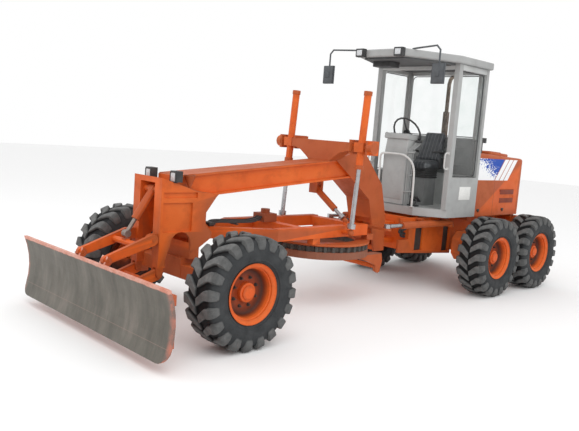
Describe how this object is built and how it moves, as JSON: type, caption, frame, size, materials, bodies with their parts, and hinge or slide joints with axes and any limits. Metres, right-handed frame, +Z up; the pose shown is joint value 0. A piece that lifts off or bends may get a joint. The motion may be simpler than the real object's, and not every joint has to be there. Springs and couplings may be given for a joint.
{
  "type": "motor grader",
  "caption": "Articulated tandem-drive motor grader with front dozer blade, toothed turning circle on a drawbar, goose-neck beam and open-fronted cab",
  "frame": {"origin": "centre of the overall box at ground level, under the tyres", "axes": "+X forward along the machine, +Y to its left, +Z up"},
  "size_m": [7.347, 2.752, 3.2743],
  "materials": {
    "black_plastic": "matt black",
    "blade_steel": "worn bare steel",
    "chrome_rod": "polished rod",
    "clear_glass": "clear pane",
    "dark_metal": "dark cast metal",
    "grey_paint": "faded satin paint",
    "lamp_body": "dark lamp body",
    "mirror_housing": "dark housing",
    "orange_paint": "faded gloss paint",
    "rubber": "dusty rubber",
    "rusty_pipe": "heat-browned steel",
    "seat_vinyl": "dark padded cover"
  },
  "bodies": {
    "rear_frame": {"rear_frame": "orange_paint", "rear_axle": "orange_paint", "engine_block": "dark_metal", "engine_hood": "orange_paint", "exhaust_pipe": "rusty_pipe", "air_cleaner": "black_plastic", "cab_base": "grey_paint", "cab_frame": "grey_paint", "cab_roof": "grey_paint", "side_window_left": "clear_glass", "side_window_right": "clear_glass", "rear_window": "clear_glass", "control_console": "grey_paint", "steering_wheel": "black_plastic", "seat": "seat_vinyl", "seat_base": "black_plastic", "mirror_left": "mirror_housing", "mirror_right": "mirror_housing", "work_lamp_left": "lamp_body", "work_lamp_right": "lamp_body"},
    "main_frame": {"main_frame": "orange_paint", "front_axle": "orange_paint", "lift_saddle": "orange_paint", "headlamp_left": "lamp_body", "headlamp_right": "lamp_body"},
    "drawbar": {"drawbar": "orange_paint", "circle_drive": "black_plastic"},
    "circle": {"circle": "orange_paint"},
    "tie_rod": {"tie_rod": "chrome_rod"},
    "shift_barrel": {"shift_barrel": "orange_paint"},
    "shift_rod": {"shift_rod": "chrome_rod"},
    "dozer_upper_arms": {"dozer_upper_arms": "orange_paint"},
    "dozer_lower_arms": {"dozer_lower_arms": "orange_paint"},
    "dozer_blade": {"dozer_blade": "blade_steel"},
    "dozer_barrel": {"dozer_barrel": "orange_paint"},
    "dozer_rod": {"dozer_rod": "chrome_rod"},
    "knuckle_left": {"knuckle_left": "orange_paint"},
    "lift_barrel_left": {"lift_barrel_left": "orange_paint"},
    "lift_rod_left": {"lift_rod_left": "chrome_rod"},
    "articulation_barrel_left": {"articulation_barrel_left": "orange_paint"},
    "articulation_rod_left": {"articulation_rod_left": "chrome_rod"},
    "wheel_front_left": {"tyre_front_left": "rubber", "rim_front_left": "orange_paint"},
    "wheel_middle_left": {"tyre_middle_left": "rubber", "rim_middle_left": "orange_paint"},
    "wheel_rear_left": {"tyre_rear_left": "rubber", "rim_rear_left": "orange_paint"},
    "knuckle_right": {"knuckle_right": "orange_paint"},
    "lift_barrel_right": {"lift_barrel_right": "orange_paint"},
    "lift_rod_right": {"lift_rod_right": "chrome_rod"},
    "articulation_barrel_right": {"articulation_barrel_right": "orange_paint"},
    "articulation_rod_right": {"articulation_rod_right": "chrome_rod"},
    "wheel_front_right": {"tyre_front_right": "rubber", "rim_front_right": "orange_paint"},
    "wheel_middle_right": {"tyre_middle_right": "rubber", "rim_middle_right": "orange_paint"},
    "wheel_rear_right": {"tyre_rear_right": "rubber", "rim_rear_right": "orange_paint"}
  },
  "joints": [
    {"name": "articulation", "type": "hinge", "parent": "rear_frame", "child": "main_frame", "pos_m": [-0.5265, 0, 0.7925], "axis": [0, 0, 1], "range_deg": [-25, 25]},
    {"name": "articulation_barrel_left", "type": "hinge", "parent": "rear_frame", "child": "articulation_barrel_left", "pos_m": [-1.6865, 0.53, 0.96], "axis": [0, 0, 1], "range_deg": [-8, 8]},
    {"name": "articulation_rod_left", "type": "slide", "parent": "articulation_barrel_left", "child": "articulation_rod_left", "axis": [0.9998, -0.0211, 0], "range_m": [-0.23, 0.23]},
    {"name": "articulation_barrel_right", "type": "hinge", "parent": "rear_frame", "child": "articulation_barrel_right", "pos_m": [-1.6865, -0.53, 0.96], "axis": [0, 0, 1], "range_deg": [-8, 8]},
    {"name": "articulation_rod_right", "type": "slide", "parent": "articulation_barrel_right", "child": "articulation_rod_right", "axis": [0.9998, 0.0211, 0], "range_m": [-0.23, 0.23]},
    {"name": "steer_left", "type": "hinge", "parent": "main_frame", "child": "knuckle_left", "pos_m": [2.6135, 0.8, 0.55], "axis": [0, 0, 1], "range_deg": [-28, 28]},
    {"name": "steer_right", "type": "hinge", "parent": "main_frame", "child": "knuckle_right", "pos_m": [2.6135, -0.8, 0.55], "axis": [0, 0, 1], "range_deg": [-28, 28]},
    {"name": "tie_rod_shift", "type": "slide", "parent": "main_frame", "child": "tie_rod", "axis": [0, 1, 0], "range_m": [-0.1, 0.1]},
    {"name": "spin_front_left", "type": "hinge", "parent": "knuckle_left", "child": "wheel_front_left", "pos_m": [2.6135, 1.0525, 0.55], "axis": [0, 1, 0], "continuous": true},
    {"name": "spin_front_right", "type": "hinge", "parent": "knuckle_right", "child": "wheel_front_right", "pos_m": [2.6135, -1.0525, 0.55], "axis": [0, 1, 0], "continuous": true},
    {"name": "spin_middle_left", "type": "hinge", "parent": "rear_frame", "child": "wheel_middle_left", "pos_m": [-1.9285, 1.0525, 0.55], "axis": [0, 1, 0], "continuous": true},
    {"name": "spin_middle_right", "type": "hinge", "parent": "rear_frame", "child": "wheel_middle_right", "pos_m": [-1.9285, -1.0525, 0.55], "axis": [0, 1, 0], "continuous": true},
    {"name": "spin_rear_left", "type": "hinge", "parent": "rear_frame", "child": "wheel_rear_left", "pos_m": [-3.1235, 1.0525, 0.55], "axis": [0, 1, 0], "continuous": true},
    {"name": "spin_rear_right", "type": "hinge", "parent": "rear_frame", "child": "wheel_rear_right", "pos_m": [-3.1235, -1.0525, 0.55], "axis": [0, 1, 0], "continuous": true},
    {"name": "drawbar_lift", "type": "hinge", "parent": "main_frame", "child": "drawbar", "pos_m": [2.3235, 0, 0.945], "axis": [0, 1, 0], "range_deg": [-4, 6]},
    {"name": "circle_turn", "type": "hinge", "parent": "drawbar", "child": "circle", "pos_m": [0.5335, 0, 0.765], "axis": [0, 0, 1], "continuous": true},
    {"name": "lift_barrel_left", "type": "hinge", "parent": "main_frame", "child": "lift_barrel_left", "pos_m": [0.5135, 0.6, 1.95], "axis": [0, 1, 0], "range_deg": [-4, 4]},
    {"name": "lift_rod_left", "type": "slide", "parent": "lift_barrel_left", "child": "lift_rod_left", "axis": [0.0587, 0, -0.9983], "range_m": [-0.26, 0.14]},
    {"name": "lift_barrel_right", "type": "hinge", "parent": "main_frame", "child": "lift_barrel_right", "pos_m": [0.5135, -0.6, 1.95], "axis": [0, 1, 0], "range_deg": [-4, 4]},
    {"name": "lift_rod_right", "type": "slide", "parent": "lift_barrel_right", "child": "lift_rod_right", "axis": [0.0587, 0, -0.9983], "range_m": [-0.26, 0.14]},
    {"name": "shift_barrel", "type": "hinge", "parent": "main_frame", "child": "shift_barrel", "pos_m": [0.5085, -0.085, 1.393], "axis": [1, 0, 0], "range_deg": [-15, 26]},
    {"name": "shift_rod", "type": "slide", "parent": "shift_barrel", "child": "shift_rod", "axis": [0, 0.8408, -0.5413], "range_m": [-0.12, 0.08]},
    {"name": "dozer_lift", "type": "hinge", "parent": "main_frame", "child": "dozer_upper_arms", "pos_m": [3.0955, 0, 0.92486], "axis": [0, -1, 0], "range_deg": [-13, 35]},
    {"name": "dozer_lower_swing", "type": "hinge", "parent": "main_frame", "child": "dozer_lower_arms", "pos_m": [2.9955, 0, 0.56799], "axis": [0, -1, 0], "range_deg": [-14, 36]},
    {"name": "dozer_blade_level", "type": "hinge", "parent": "dozer_upper_arms", "child": "dozer_blade", "pos_m": [3.5975, 0, 0.75986], "axis": [0, -1, 0], "range_deg": [-36, 14]},
    {"name": "dozer_barrel", "type": "hinge", "parent": "main_frame", "child": "dozer_barrel", "pos_m": [2.9585, 0, 1.4], "axis": [0, -1, 0], "range_deg": [-5, 6]},
    {"name": "dozer_rod", "type": "slide", "parent": "dozer_barrel", "child": "dozer_rod", "axis": [0.5474, 0, -0.8368], "range_m": [-0.11, 0.05]}
  ],
  "couplings": [
    {"joint": "articulation_barrel_left", "follows": "articulation", "ratio": 0.1645},
    {"joint": "articulation_rod_left", "follows": "articulation", "m_per_rad": -0.4961},
    {"joint": "articulation_barrel_right", "follows": "articulation", "ratio": 0.1645},
    {"joint": "articulation_rod_right", "follows": "articulation", "m_per_rad": 0.4961},
    {"joint": "steer_right", "follows": "steer_left", "ratio": 1},
    {"joint": "tie_rod_shift", "follows": "steer_left", "m_per_rad": -0.19},
    {"joint": "lift_barrel_left", "follows": "drawbar_lift", "ratio": -0.1373},
    {"joint": "lift_rod_left", "follows": "drawbar_lift", "m_per_rad": -1.7427},
    {"joint": "lift_barrel_right", "follows": "drawbar_lift", "ratio": -0.1373},
    {"joint": "lift_rod_right", "follows": "drawbar_lift", "m_per_rad": -1.7427},
    {"joint": "shift_barrel", "follows": "drawbar_lift", "ratio": 2.569},
    {"joint": "shift_rod", "follows": "drawbar_lift", "m_per_rad": -0.891},
    {"joint": "dozer_lower_swing", "follows": "dozer_lift", "ratio": 1},
    {"joint": "dozer_blade_level", "follows": "dozer_lift", "ratio": -1},
    {"joint": "dozer_barrel", "follows": "dozer_lift", "ratio": 0.0443},
    {"joint": "dozer_rod", "follows": "dozer_lift", "m_per_rad": -0.1487}
  ]
}
